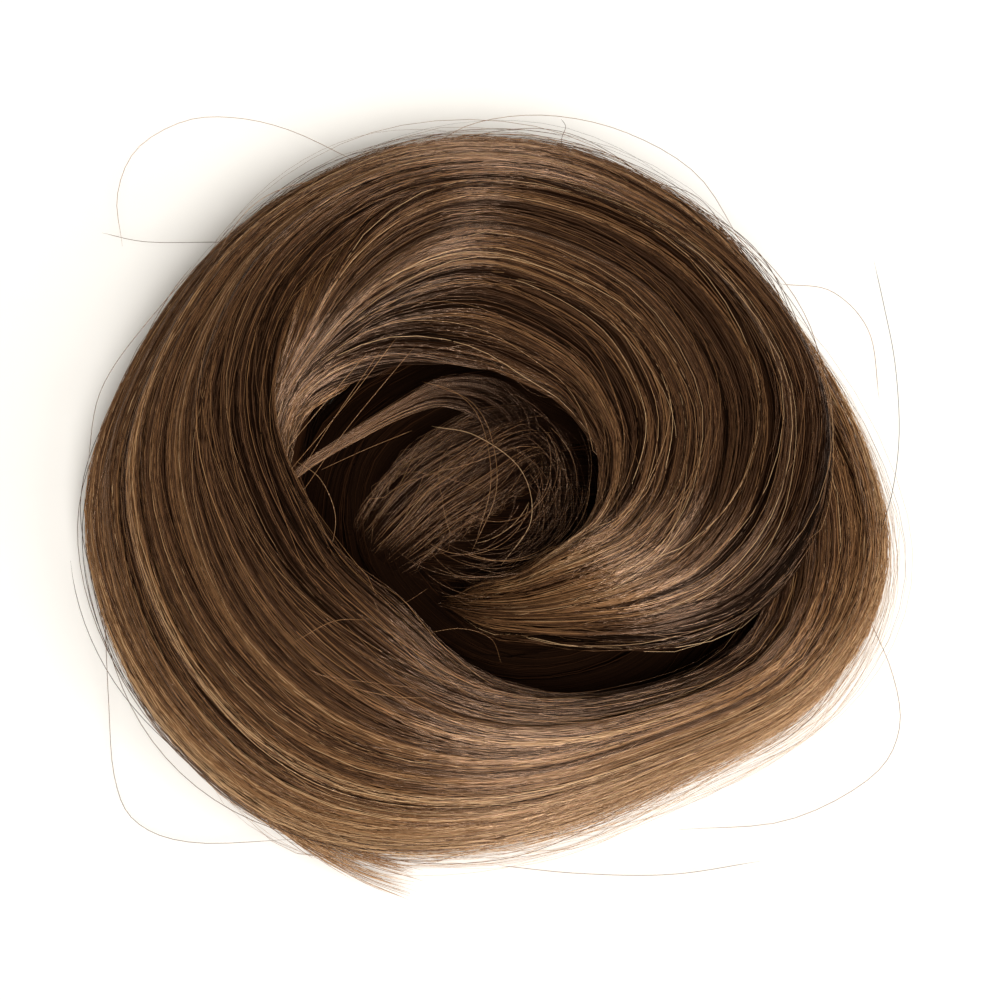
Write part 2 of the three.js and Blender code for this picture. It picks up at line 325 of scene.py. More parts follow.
# Where the camera looks, from the nest's axis, where the lights hang, and their colours.
TARGET_FROM_AXIS = (0.0028, -0.0005, 0.015)
FRONT_WINDOW = ((0.30, -1.04, 1.40), (1.0, 0.98, 0.955))
SIDE_WINDOW = ((0.85, -0.30, 0.70), (1.0, 0.97, 0.92))
OVERHEAD = ((-0.25, 0.10, 1.1), (0.96, 0.98, 1.0))
ROOM_COLOUR = (1.0, 0.90, 0.76, 1.0)


def unit(vectors):
    """The same vectors, one long."""
    return vectors / np.maximum(np.linalg.norm(vectors, axis=-1, keepdims=True), 1e-12)


def ease(x):
    """A smooth step from 0 to 1 as x goes from 0 to 1."""
    x = np.clip(x, 0, 1)
    return x * x * (3 - 2 * x)


def smooth_run(rows, share):
    """A table's rows read at shares of its run, on a smooth curve through them."""
    rows = np.asarray(rows, float)
    ends = np.vstack([2 * rows[0] - rows[1], rows, 2 * rows[-1] - rows[-2]])
    place = np.clip(share, 0, 1) * (len(rows) - 1)
    first = np.minimum(place.astype(int), len(rows) - 2)
    f = (place - first)[..., None]
    a, b, c, d = (ends[first + i] for i in range(4))
    bend = (2 * a - 5 * b + 4 * c - d) * f**2 + (3 * b - a - 3 * c + d) * f**3
    return 0.5 * (2 * b + (c - a) * f + bend)


def from_turn(rows):
    """Rows that start with turn and radius, with x and y from the nest's axis in their place."""
    rows = np.array(rows, float)
    turn, radius = np.radians(rows[:, 0]), rows[:, 1].copy()
    rows[:, 0], rows[:, 1] = -radius * np.cos(turn), radius * np.sin(turn)
    return rows


class Lock:
    """One lock of the hank: sections carried along a table, with ridges that turn as they run."""

    def __init__(self, rows, wound, lobes, furrow, drift):
        self.rows = from_turn(rows) if wound else np.array(rows, float)
        self.wound, self.lobes, self.furrow, self.drift = wound, lobes, furrow, math.radians(drift)

    def sizes(self, share):
        """Half the width and half the thickness at shares of the run."""
        row = smooth_run(self.rows, share)
        return row[..., 3] / 2, row[..., 4] / 2

    def outward(self, share, centre):
        """The level direction across the run, away from the nest's axis where the lock is wound."""
        if self.wound:
            return unit(centre * (1, 1, 0))
        step = 1e-3
        ahead = smooth_run(self.rows, np.minimum(share + step, 1))[..., :3]
        behind = smooth_run(self.rows, np.maximum(share - step, 0))[..., :3]
        return unit(np.cross(UP, ahead - behind))

    def drawn_in(self, angle):
        """How far the furrows between ridges draw the surface in, each to a depth of its own."""
        angle = (angle + np.pi) % (2 * np.pi) - np.pi
        ridge = np.floor(angle / (2 * np.pi) * self.lobes)
        mean, change, step = 0.65, 0.35, 2.4
        strength = mean + change * np.sin(step * ridge)
        return self.furrow * strength * np.sin(angle * self.lobes / 2) ** 2

    def surface(self, share, angle, lift, ridge=None):
        """Points and outward normals at angles round the section, lifted off the lock's surface.

        ridge is the angle whose furrow they follow, where it isn't their own.
        """
        row = smooth_run(self.rows, share)
        centre = row[..., :3]
        outward = self.outward(share, centre)
        roll = np.radians(row[..., 5])[..., None]
        across = outward * np.cos(roll) - UP * np.sin(roll)
        over = outward * np.sin(roll) + UP * np.cos(roll)
        drawn = self.drawn_in(angle if ridge is None else ridge)
        half = np.stack([row[..., 3], row[..., 4]], -1) / 2
        furrowed = np.maximum(half - drawn[..., None], half / 2)
        half = np.maximum(furrowed + lift[..., None], half / 6)
        turned = angle + self.drift * share
        c, s = np.cos(turned)[..., None], np.sin(turned)[..., None]
        point = centre + across * (half[..., :1] * c) + over * (half[..., 1:] * s)
        normal = unit(across * (c / half[..., :1]) + over * (s / half[..., 1:]))
        point[..., :2] += AXIS
        return point, normal


LOCKS = {
    "ring": Lock(RING_ROWS, True, 9, 0.0015, 60),
    "crown": Lock(CROWN_ROWS, True, 9, 0.0015, 50),
    "bed": Lock(BED_ROWS, True, 4, 0.0005, 30),
    "sill": Lock(SILL_ROWS, False, 4, 0.0005, 10),
    "core": Lock(CORE_ROWS, False, 5, 0.0008, 20),
    "pale": Lock(PALE_ROWS, False, 3, 0.0003, 40),
    "wisp": Lock(WISP_ROWS, False, 2, 0.0003, 20),
}


# Settings that a user would change

class StrandSettings(bpy.types.PropertyGroup):
    """How the hank is combed."""

    strand_width: FloatProperty(
        name="Strand width", description="Width of one strand", default=0.00017, unit="LENGTH", precision=5)
    strand_thickness: FloatProperty(
        name="Strand thickness", description="Thickness of one strand",
        default=0.00009, unit="LENGTH", precision=5)
    hair_width: FloatProperty(
        name="Hair width", description="Width of a single loose hair",
        default=0.00015, unit="LENGTH", precision=5)
    wisp_spread: FloatProperty(
        name="Wisp spread", description="Spread of the strands of one wisp",
        default=0.00040, unit="LENGTH", precision=5)
    clump: FloatProperty(
        name="Clump", description="How far the edges of a wisp sink",
        default=0.00018, unit="LENGTH", precision=5)
    meander: FloatProperty(
        name="Meander", description="How far the flow wanders sideways",
        default=0.0012, unit="LENGTH", precision=5)
    relief: FloatProperty(
        name="Relief", description="Height of the ridges that the wisps make",
        default=0.00045, unit="LENGTH", precision=5)
    core_depth: FloatProperty(
        name="Core depth", description="Depth of the dense hair under the strands",
        default=0.0018, unit="LENGTH", precision=5)
    floor_clearance: FloatProperty(
        name="Floor clearance", description="Least height of a strand over the floor",
        default=0.0003, unit="LENGTH", precision=5)
    ring_strands: IntProperty(name="Ring strands", description="Strands of the outer ring", default=1650)
    crown_strands: IntProperty(name="Crown strands", description="Strands of the crown lock", default=1250)
    eye_strands: IntProperty(name="Eye strands", description="Strands of the tuft in the eye", default=420)
    fringe_hairs: IntProperty(
        name="Fringe hairs", description="Hairs that stand off the outer edge",
        default=420)
    loose_hairs: IntProperty(name="Loose hairs", description="Single hairs round the rim", default=260)
    seed: IntProperty(name="Seed", description="Start of the random numbers", default=7)


class ColourSettings(bpy.types.PropertyGroup):
    """The colours of the hair, from its shade to its lightest strands, and of the fittings."""

    shade: FloatVectorProperty(
        name="Shade", description="Darkest strands",
        default=(0.005, 0.0025, 0.0015), size=3, subtype="COLOR")
    chestnut: FloatVectorProperty(
        name="Chestnut", description="Dark strands", default=(0.040, 0.016, 0.007), size=3, subtype="COLOR")
    brown: FloatVectorProperty(
        name="Brown", description="Middle strands", default=(0.120, 0.054, 0.022), size=3, subtype="COLOR")
    gold: FloatVectorProperty(
        name="Gold", description="Light strands", default=(0.33, 0.168, 0.068), size=3, subtype="COLOR")
    straw: FloatVectorProperty(
        name="Straw", description="Lightest strands", default=(0.70, 0.46, 0.245), size=3, subtype="COLOR")
    weft: FloatVectorProperty(
        name="Weft", description="The sewn band", default=(0.035, 0.016, 0.009), size=3, subtype="COLOR")
    thread: FloatVectorProperty(
        name="Thread", description="The sewing thread",
        default=(0.022, 0.012, 0.008), size=3, subtype="COLOR")
    enamel: FloatVectorProperty(
        name="Enamel", description="The clip's enamel",
        default=(0.020, 0.012, 0.009), size=3, subtype="COLOR")
    steel: FloatVectorProperty(
        name="Steel", description="Bare steel at the clip's worn edges",
        default=(0.45, 0.43, 0.41), size=3, subtype="COLOR")


class StageSettings(bpy.types.PropertyGroup):
    """The floor, the lights and the camera."""

    floor: FloatVectorProperty(
        name="Floor", description="The pale floor", default=(0.95, 0.94, 0.91), size=3, subtype="COLOR")
    elevation: FloatProperty(
        name="Elevation", description="Height angle of the camera",
        default=math.radians(67), subtype="ANGLE")
    distance: FloatProperty(
        name="Distance", description="From the camera to its target", default=0.60, unit="LENGTH")
    view_width: FloatProperty(
        name="View width", description="Width of the picture at the target", default=0.2015, unit="LENGTH")
    front_strength: FloatProperty(
        name="Front light", description="Strength of the front window",
        default=3.45)
    front_angle: FloatProperty(
        name="Front softness", description="Angle that the front window fills",
        default=math.radians(33), subtype="ANGLE")
    side_power: FloatProperty(
        name="Side light", description="Power of the side window",
        default=5.0, unit="POWER")
    top_power: FloatProperty(
        name="Top light", description="Power of the overhead light",
        default=0.4, unit="POWER")
    ambient: FloatProperty(name="Ambient", description="Strength of the light all round", default=0.20)


SETTINGS = {"nest_strands": StrandSettings, "nest_colours": ColourSettings, "nest_stage": StageSettings}


def strands():
    """The scene's settings for combing."""
    return bpy.context.scene.nest_strands


def colours():
    """The scene's colours."""
    return bpy.context.scene.nest_colours


def stage():
    """The scene's settings for the floor, the lights and the camera."""
    return bpy.context.scene.nest_stage


# Materials

def feed(tree, made, values):
    """Set a node's inputs by name or number. Another node's output is linked, and a plain value is set."""
    for key, value in values.items():
        socket = made.inputs[key.replace("_", " ") if isinstance(key, str) else key]
        if isinstance(value, bpy.types.NodeSocket):
            tree.links.new(value, socket)
        else:
            socket.default_value = value


def node(tree, kind, *inputs, **values):
    """A new node. Its first inputs are set in order, and its properties and other inputs by name."""
    made = tree.nodes.new(kind)
    for name in [name for name in values if hasattr(made, name)]:
        setattr(made, name, values.pop(name))
    feed(tree, made, {**dict(enumerate(inputs)), **values})
    return made


def blank_material(name, **values):
    """A material with one Principled BSDF, whose named inputs are set."""
    material = bpy.data.materials.new(name)
    material.use_nodes = True
    tree = material.node_tree
    shader = tree.nodes["Principled BSDF"]
    feed(tree, shader, values)
    return material, tree, shader


def shader_group(name, inputs, outputs):
    """A new shader group with its named sockets, and the nodes at its two ends."""
    tree = bpy.data.node_groups.new(name, "ShaderNodeTree")
    for side, sockets in (("INPUT", inputs), ("OUTPUT", outputs)):
        for socket, kind in sockets.items():
            tree.interface.new_socket(socket, in_out=side, socket_type=kind)
    return tree, tree.nodes.new("NodeGroupInput"), tree.nodes.new("NodeGroupOutput")


def rgba(colour):
    """A colour with full alpha."""
    return (*colour, 1.0)


def blend(tree, mask, first, second):
    """A colour that goes from the first to the second as the mask goes from 0 to 1."""
    mix = node(tree, "ShaderNodeMix", data_type="RGBA", Factor=mask, A=first, B=second)
    return mix.outputs["Result"]


def hair_tone_group():
    """Shader group: the colour of hair of a tone from 0, shade, to 1, straw, and its fine relief.

    Both vary along the run, in a way that Strand makes different for each strand.
    """
    known = bpy.data.node_groups.get("hair_tone")
    if known:
        return known
    tree, given, result = shader_group(
        "hair_tone", dict.fromkeys(("Tone", "Along", "Strand"), "NodeSocketFloat"),
        {"Color": "NodeSocketColor", "Normal": "NodeSocketVector"})
    row = node(tree, "ShaderNodeMath", given.outputs["Strand"], NOISE_ROWS, operation="MULTIPLY")
    place = node(tree, "ShaderNodeCombineXYZ", given.outputs["Along"], row.outputs[0]).outputs[0]
    drift = node(tree, "ShaderNodeTexNoise", Vector=place, Scale=6.0, Detail=2.0)
    change = node(tree, "ShaderNodeMapRange", drift.outputs["Fac"], To_Min=-TONE_DRIFT, To_Max=TONE_DRIFT)
    total = node(tree, "ShaderNodeMath", given.outputs["Tone"], change.outputs[0], operation="ADD")
    ramp = node(tree, "ShaderNodeValToRGB", total.outputs[0])
    c = colours()
    stops = ((0.0, c.shade), (0.30, c.chestnut), (0.55, c.brown), (0.82, c.gold), (1.0, c.straw))
    while len(ramp.color_ramp.elements) < len(stops):
        ramp.color_ramp.elements.new(1.0)
    for element, (position, colour) in zip(ramp.color_ramp.elements, stops):
        element.position = position
        element.color = rgba(colour)
    glint = node(tree, "ShaderNodeTexNoise", Vector=place, Scale=60.0, Detail=1.0)
    relief = node(tree, "ShaderNodeBump", Strength=1.0, Distance=0.0005, Height=glint.outputs["Fac"])
    feed(tree, result, {"Color": ramp.outputs["Color"], "Normal": relief.outputs["Normal"]})
    return tree


def strand_material(name="glossy_strands", roughness=0.23, gloss=1.0):
    """Smooth hair, whose tone, place along the run and number are kept on each strand.

    Dark strands are less glossy than light ones.
    """
    known = bpy.data.materials.get(name)
    if known:
        return known
    material, tree, shader = blank_material(
        name, Roughness=roughness, IOR=1.85, Specular_Tint=(1.0, 0.68, 0.48, 1.0))
    kept = {
        key: node(tree, "ShaderNodeAttribute", attribute_name=key.lower()).outputs["Fac"]
        for key in ("Tone", "Along", "Strand")}
    colour = node(tree, "ShaderNodeGroup", node_tree=hair_tone_group(), **kept)
    shine = node(
        tree, "ShaderNodeMapRange", kept["Tone"], From_Min=0.1, From_Max=0.45,
        To_Min=DARK_GLOSS * gloss, To_Max=gloss)
    feed(tree, shader, {
        "Specular IOR Level": shine.outputs[0], "Base Color": colour.outputs["Color"],
        "Normal": colour.outputs["Normal"]})
    return material


def shaded_material():
    """The matt hair deep in the eye: a shaded copy of the strands' material, without gloss, for strands whose
    very dark tone is painted shade.
    """
    return strand_material("shaded_strands", roughness=0.7, gloss=0.0)


def dense_material(name, lightness):
    """The dense hair under the strands: fine dark streaks along the lock's map, with relief. Its tone stays
    darker than the strands', as painted shade where it shows between them.
    """
    known = bpy.data.materials.get(name)
    if known:
        return known
    material, tree, shader = blank_material(name, Roughness=0.8, IOR=1.55, Specular_IOR_Level=0.0)
    place = node(tree, "ShaderNodeTexCoord").outputs["UV"]
    stretch = node(tree, "ShaderNodeMapping", Vector=place, Scale=(3.0, 420.0, 1.0))
    streaks = node(
        tree, "ShaderNodeTexNoise", Vector=stretch.outputs["Vector"], Scale=1.0, Detail=3.0, Roughness=0.6)
    tone = node(tree, "ShaderNodeMath", streaks.outputs["Fac"], lightness, operation="MULTIPLY")
    split = node(tree, "ShaderNodeSeparateXYZ", place)
    colour = node(
        tree, "ShaderNodeGroup", node_tree=hair_tone_group(), Tone=tone.outputs[0],
        Along=split.outputs["X"], Strand=split.outputs["Y"])
    relief = node(tree, "ShaderNodeBump", Strength=0.8, Distance=0.0006, Height=streaks.outputs["Fac"])
    feed(tree, shader, {"Base Color": colour.outputs["Color"], "Normal": relief.outputs["Normal"]})
    return material


def fleck_group():
    """Shader group: a speckled mask over Object coordinates, for scuffs and lint."""
    known = bpy.data.node_groups.get("flecks")
    if known:
        return known
    tree, given, result = shader_group(
        "flecks", dict.fromkeys(("Scale", "Level"), "NodeSocketFloat"), {"Mask": "NodeSocketFloat"})
    place = node(tree, "ShaderNodeTexCoord")
    speckle = node(
        tree, "ShaderNodeTexNoise", Vector=place.outputs["Object"], Scale=given.outputs["Scale"],
        Detail=6.0, Roughness=0.7)
    full = node(tree, "ShaderNodeMath", given.outputs["Level"], FLECK_EDGE, operation="ADD")
    mask = node(
        tree, "ShaderNodeMapRange", speckle.outputs["Fac"], From_Min=given.outputs["Level"],
        From_Max=full.outputs[0])
    feed(tree, result, {"Mask": mask.outputs[0]})
    return tree


def flecks(tree, scale, level):
    """The speckled mask placed in a material, with its own scale and level."""
    return node(tree, "ShaderNodeGroup", node_tree=fleck_group(), Scale=scale, Level=level).outputs["Mask"]


def ribbed_material(name, first, second, spacing, direction):
    """Matt yarn: ribs across a direction with relief, and a little lint."""
    material, tree, shader = blank_material(name, Roughness=0.85, Specular_IOR_Level=0.3)
    place = node(tree, "ShaderNodeTexCoord")
    ribs = node(
        tree, "ShaderNodeTexWave", bands_direction=direction, Vector=place.outputs["Object"],
        Scale=WAVE_SPACING / spacing, Distortion=1.5, Detail_Scale=4.0)
    relief = node(tree, "ShaderNodeBump", Strength=0.7, Distance=0.0003, Height=ribs.outputs["Fac"])
    yarn = blend(tree, ribs.outputs["Fac"], rgba(second), rgba(first))
    lint = rgba([LINT_LIGHTENS * c for c in first])
    linty = blend(tree, flecks(tree, scale=900.0, level=0.62), yarn, lint)
    feed(tree, shader, {"Base Color": linty, "Normal": relief.outputs["Normal"]})
    return material


def enamel_material():
    """Brown enamel over steel, with a soft orange-peel surface and a few scuffs down to the metal."""
    c = colours()
    material, tree, shader = blank_material("clip_enamel", Roughness=0.32, Coat_Weight=0.4)
    place = node(tree, "ShaderNodeTexCoord")
    peel = node(tree, "ShaderNodeTexNoise", Vector=place.outputs["Object"], Scale=1400.0, Detail=2.0)
    relief = node(tree, "ShaderNodeBump", Strength=0.15, Distance=0.0001, Height=peel.outputs["Fac"])
    scuffs = flecks(tree, scale=420.0, level=0.66)
    enamel = blend(tree, scuffs, rgba(c.enamel), rgba(c.steel))
    feed(tree, shader, {"Base Color": enamel, "Metallic": scuffs, "Normal": relief.outputs["Normal"]})
    return material


# Meshes from arrays

def mesh_object(name, points, faces, uv):
    """A smooth mesh of faces with equal corner counts, with its bake map, linked to the scene."""
    mesh = bpy.data.meshes.new(name)
    corners = faces.shape[1]
    mesh.vertices.add(len(points))
    mesh.vertices.foreach_set("co", points.astype(np.float32).ravel())
    mesh.loops.add(faces.size)
    mesh.loops.foreach_set("vertex_index", faces.astype(np.int32).ravel())
    mesh.polygons.add(len(faces))
    mesh.polygons.foreach_set("loop_start", np.arange(0, faces.size, corners, dtype=np.int32))
    mesh.polygons.foreach_set("use_smooth", np.full(len(faces), True))
    mesh.update(calc_edges=True)
    layer = mesh.uv_layers.new(name=BAKE_MAP)
    layer.data.foreach_set("uv", uv.astype(np.float32).ravel())
    made = bpy.data.objects.new(name, mesh)
    bpy.context.collection.objects.link(made)
    return made


def point_attribute(made, name, values):
    """Keep a number on each point of a mesh."""
    attribute = made.data.attributes.new(name, "FLOAT", "POINT")
    attribute.data.foreach_set("value", values.astype(np.float32).ravel())


def two_triangles(i, j):
    """The corners of the two triangles that fill the square from a grid's point i, j to the next."""
    return ((i, j), (i + 1, j), (i + 1, j + 1)), ((i, j), (i + 1, j + 1), (i, j + 1))


def as_hair(made, material):
    """The piece rides on the part, stands for the hank and takes its finish."""
    made.data.materials.append(material)
    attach(made, "root")
    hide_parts("hair_hank")


def strand_piece(name, paths, normals, tone, width, thickness, material=strand_material):
    """Closed three-sided tubes along the paths, which thin out at both ends, as one piece."""
    count, points = paths.shape[:2]
    along = np.linspace(0, 1, points)
    root, tip = THINNING_ENDS
    taper = END_WIDTH + (1 - END_WIDTH) * ease(along / root) * ease((1 - along) / tip)
    run = unit(np.gradient(paths, axis=1))
    side = unit(np.cross(run, normals))
    out = np.cross(side, run)
    size = np.broadcast_to(np.asarray(width, float).reshape(-1, 1), (count, 1)) * taper
    flat = thickness / np.mean(width)
    corner = np.radians([90, 210, 330])
    offset = side[:, :, None] * np.cos(corner)[:, None] + out[:, :, None] * (flat * np.sin(corner))[:, None]
    places = paths[:, :, None] + offset * (size / 2)[:, :, None, None]
    places[..., 2] = np.maximum(places[..., 2], strands().floor_clearance / 2)

    strand, point, k = np.meshgrid(np.arange(count), np.arange(points - 1), np.arange(3), indexing="ij")
    vertex = lambda p, c: (strand * points + p) * 3 + c % 3
    u = lambda c: (strand + MAP_MARGIN + (1 - 2 * MAP_MARGIN) * c / 3) / count
    v = lambda p: p / (points - 1)
    triangles = two_triangles(point, k)
    faces = [np.stack([vertex(p, c) for p, c in t], -1).reshape(-1, 3) for t in triangles]
    uv = [np.stack([np.stack([u(c), v(p)], -1) for p, c in t], -2).reshape(-1, 3, 2) for t in triangles]
    first = np.arange(count)[:, None] * points * 3 + np.arange(3)
    last = (first + (points - 1) * 3)[:, ::-1]
    cap_u = (np.arange(count)[:, None] + CAP_CORNERS) / count
    faces += [first, last]
    rise = (0, CAP_HEIGHT, 0)
    uv += [np.stack([cap_u, np.full_like(cap_u, end) + rise], -1) for end in (0.0, 1 - CAP_HEIGHT)]

    made = mesh_object(name, places.reshape(-1, 3), np.concatenate(faces), np.concatenate(uv))
    point_attribute(made, "tone", np.repeat(np.broadcast_to(tone.reshape(count, -1), (count, points)), 3))
    point_attribute(made, "along", np.tile(np.repeat(along, 3), count))
    point_attribute(made, "strand", np.repeat(np.arange(count) / count, 3 * points))
    as_hair(made, material())


def core_piece(name, lock, steps, sides, depth, first=0.0, last=1.0, deep=False):
    """The dense hair inside a lock: a closed tube a little under its surface. Its dark tone is painted shade,
    darker still for the locks that lie deep in the eye.
    """
    share = np.linspace(first, last, steps + 1)[:, None]
    angle = np.linspace(-np.pi, np.pi, sides, endpoint=False)[None]
    share, angle = np.broadcast_arrays(share, angle)
    wall, _ = lock.surface(share, angle, np.full(share.shape, -depth))
    ends = wall[[0, -1]].mean(axis=1)
    points = np.concatenate([wall.reshape(-1, 3), ends])
    points[:, 2] = np.maximum(points[:, 2], 0.0)
    i, j = np.meshgrid(np.arange(steps), np.arange(sides), indexing="ij")
    vertex = lambda a, b: a * sides + b % sides
    place = lambda a, b: np.stack([a / steps, b / sides], -1)
    triangles = two_triangles(i, j)
    faces = [np.stack([vertex(a, b) for a, b in t], -1).reshape(-1, 3) for t in triangles]
    uv = [np.stack([place(a, b) for a, b in t], -2).reshape(-1, 3, 2) for t in triangles]
    j = np.arange(sides)
    for end, row in enumerate((0, steps)):
        middle = np.full(sides, (steps + 1) * sides + end)
        fan = np.stack([vertex(row, j), vertex(row, j + 1), middle], -1)
        fan_uv = np.stack([place(np.full(sides, row), j), place(np.full(sides, row), j + 1),
                           place(np.full(sides, abs(row - 0.5)), j + 0.5)], -2)
        faces.append(fan if end == 0 else fan[:, ::-1])
        uv.append(fan_uv if end == 0 else fan_uv[:, ::-1])
    made = mesh_object(name, points, np.concatenate(faces), np.concatenate(uv))
    # Painted shade: a darker copy of the dense hair for the cores deep in the eye.
    as_hair(made, dense_material("painted_shade_hair", 0.10) if deep else dense_material("dense_hair", 0.45))


# Combing

def spread_angles(lock, rng, count, share, weight):
    """Angles round a section, evenly spaced over its surface and thinned by weight."""
    samples = 721
    angle = np.linspace(-np.pi, np.pi, samples)
    half_width, half_thickness = lock.sizes(np.array(share))
    turned = angle + lock.drift * share
    density = np.hypot(half_width * np.sin(turned), half_thickness * np.cos(turned)) * weight(turned)
    total = np.concatenate([[0], np.cumsum((density[1:] + density[:-1]) / 2)])
    picks = (np.arange(count) + rng.random(count)) / count
    return np.interp(picks, total / total[-1], angle)


def waves(rng, groups, share, wave, scale=1.0):
    """A slow wave along the run for each group, with its own phase, length and size."""
    cycles, amplitude = wave
    phase = rng.uniform(0, 2 * np.pi, (groups, 1))
    number = rng.uniform(*cycles, (groups, 1))
    size = scale * amplitude * rng.normal(1.0, 0.3, (groups, 1))
    return size * np.sin(2 * np.pi * number * share + phase)


def ripple(rng, ridges, cycles, count):
    """A smooth random field over a lock's surface, about 1 in size, as a function of angle and share."""
    terms = [(rng.integers(*ridges), rng.uniform(*cycles), rng.uniform(0, 2 * np.pi)) for _ in range(count)]
    size = math.sqrt(2 / count)
    return lambda angle, share: size * sum(np.sin(m * angle + 2 * np.pi * n * share + p) for m, n, p in terms)


def side_shades(table, share, turned):
    """What a table of painted light and shade adds to the tone at shares of the run and angles from the outer
    side.
    """
    table = np.array(table)
    inner, top, outer = (np.interp(share, table[:, 0], column) for column in table.T[1:])
    side = np.cos(turned)
    return top + (np.where(side < 0, inner, outer) - top) * side**2


def mostly_above(turned):
    """Strands thin out where the underside of a lock hides them."""
    below, start, reach = 0.12, -0.75, 0.6
    return below + (1 - below) * ease((np.sin(turned) - start) / reach)


def outer_side(turned):
    """Strands lie only along a lock's outer side."""
    start, reach = 0.5, 0.3
    return ease((np.cos(turned) - start) / reach)


def comb(lock, seed, count, points, wisps, ends, focus, tones, weight=mostly_above, shades=NO_PAINTED_SHADING,
         gather=None, stray=0.05, spread=1.0, lift=0.0, wander=1.0, sag=0.0003, fluff=0.0, tuck=0.0025):
    """Paths, normals and tones of strands combed along a lock.

    ends gives the ranges in which strands start and stop, focus the share of the run where they are
    evenly spread, and tones the mean tone and its spread by band, by wisp and by strand. weight thins
    strands out round the section, and a table of painted light and shade makes the tone lighter on lit
    sides and darker on shaded ones. gather gives the shares between which strands open out, the angle
    that they open from and how much of their spread they start with. stray is the share of strands that
    cross the rest, spread scales the width of wisps and wander how they meander. lift raises all strands,
    sag lets each sink by a depth of its own, fluff lets each bow off the lock and tuck sinks both ends.
    """
    rng = np.random.default_rng(seed)
    s = strands()
    wisp = np.sort(rng.integers(0, wisps, count))
    start = rng.uniform(*ends[0], (count, 1))
    stop = rng.uniform(*ends[1], (count, 1))
    along = np.linspace(0, 1, points)[None]
    share = start + (stop - start) * along

    angle = spread_angles(lock, rng, wisps, focus, weight)[wisp][:, None]
    flow = ripple(rng, *FLOW_RIPPLE)
    sideways = s.meander * wander * flow(angle, share)
    offset = rng.normal(0, 1, (count, 1))
    sideways = sideways + s.wisp_spread * spread * offset
    sideways = sideways + waves(rng, wisps, share[:1], WISP_WAVE, s.meander * wander)[wisp]
    sideways = sideways + waves(rng, count, share, STRAND_WAVE, s.meander * wander)
    crossing = (rng.random((count, 1)) < stray) * rng.uniform(-CROSSING_REACH, CROSSING_REACH, (count, 1))
    sideways = sideways + crossing * (2 * along - 1)
    half_width, half_thickness = lock.sizes(share)
    turned = angle + lock.drift * share
    speed = np.hypot(half_width * np.sin(turned), half_thickness * np.cos(turned))
    narrow = np.minimum(1, half_width / FULL_HALF_WIDTH)
    angle = angle + sideways * narrow / np.maximum(speed, LEAST_ROUND)

    ridge = angle
    if gather:
        first, last, middle, left = gather
        opened = left + (1 - left) * ease((share - first) / (last - first))
        angle = middle + ((angle - middle + np.pi) % (2 * np.pi) - np.pi) * opened

    ridges = ripple(rng, *RIDGE_RIPPLE)
    root, tip = SINKING_ENDS
    sunk = 1 - ease(along / root) * ease((1 - along) / tip)
    depth = lift * (1 - sunk) - tuck * sunk - np.abs(rng.normal(0, sag, (count, 1)))
    depth = depth + waves(rng, wisps, share[:1], WISP_RISE)[wisp] + np.abs(crossing) * CROSSING_RISE
    depth = depth - s.clump * np.minimum(offset**2, CLUMP_LIMIT)
    bow = np.minimum(rng.exponential(1.0, (count, 1)), FLUFF_LIMIT) * fluff
    depth = depth + bow * np.sin(np.pi * along)
    height = lambda a: depth + s.relief * narrow * ridges(a, share)
    paths, outward = lock.surface(share, angle, height(ridge), ridge)
    step = 0.01
    across = lock.surface(share, angle + step, height(ridge + step), ridge + step)[0] - paths
    normals = unit(np.cross(across, np.gradient(paths, axis=1)))
    normals = normals * np.sign(np.sum(normals * outward, -1, keepdims=True))
    paths[..., 2] = np.maximum(paths[..., 2], s.floor_clearance)

    mean, by_band, by_wisp, by_strand = tones
    bands = ripple(rng, *BAND_RIPPLE)
    tone = mean + by_band * bands(ridge, share) + by_wisp * rng.normal(0, 1, wisps)[wisp][:, None]
    tone = tone + by_strand * rng.normal(0, 1, (count, 1))
    # Painted light and shade from the lock's table: a lighter tone on lit sides and highlights, a darker tone
    # in shade.
    tone = tone + side_shades(shades, share, angle + lock.drift * share)
    return paths, normals, np.clip(tone, *TONE_RANGE), rng


def comb_pieces(name, lock, count, pieces=1, size=1.0, material=strand_material, **how):
    """The strands of a named lock, shared out over pieces that stay small enough to export."""
    s = strands()
    paths, normals, tone, rng = comb(LOCKS[lock], count=count, **how)
    width = size * s.strand_width * rng.uniform(0.7, 1.25, count)
    thickness = size * s.strand_thickness
    for i in range(pieces):
        shared = (values[i::pieces] for values in (paths, normals, tone, width))
        strand_piece(f"{name}_{i + 1}", *shared, thickness, material)


# Operators

class NestPiece:
    """What the operators of this panel share."""

    bl_options = {"REGISTER", "UNDO"}


class NEST_OT_cores(NestPiece, bpy.types.Operator):
    """Lay the dense hair inside the thick locks"""

    bl_idname = "nest.lay_cores"
    bl_label = "Lay Lock Cores"

    def execute(self, context):
        depth = strands().core_depth
        ring_pass = RING_PASS_ROW / (len(RING_ROWS) - 1)
        core_piece("core_ring_low", LOCKS["ring"], steps=40, sides=40, depth=depth, last=ring_pass)
        core_piece("core_ring_high", LOCKS["ring"], steps=100, sides=56, depth=depth, first=ring_pass)
        core_piece("core_crown", LOCKS["crown"], steps=90, sides=56, depth=depth, last=CROWN_CORE_END)
        core_piece("core_bed", LOCKS["bed"], steps=60, sides=32, depth=depth / 2, deep=True)
        core_piece("core_sill", LOCKS["sill"], steps=24, sides=32, depth=depth / 2, deep=True)
        core_piece("core_tuft", LOCKS["core"], steps=30, sides=40, depth=1.4 * depth, deep=True)
        return {"FINISHED"}


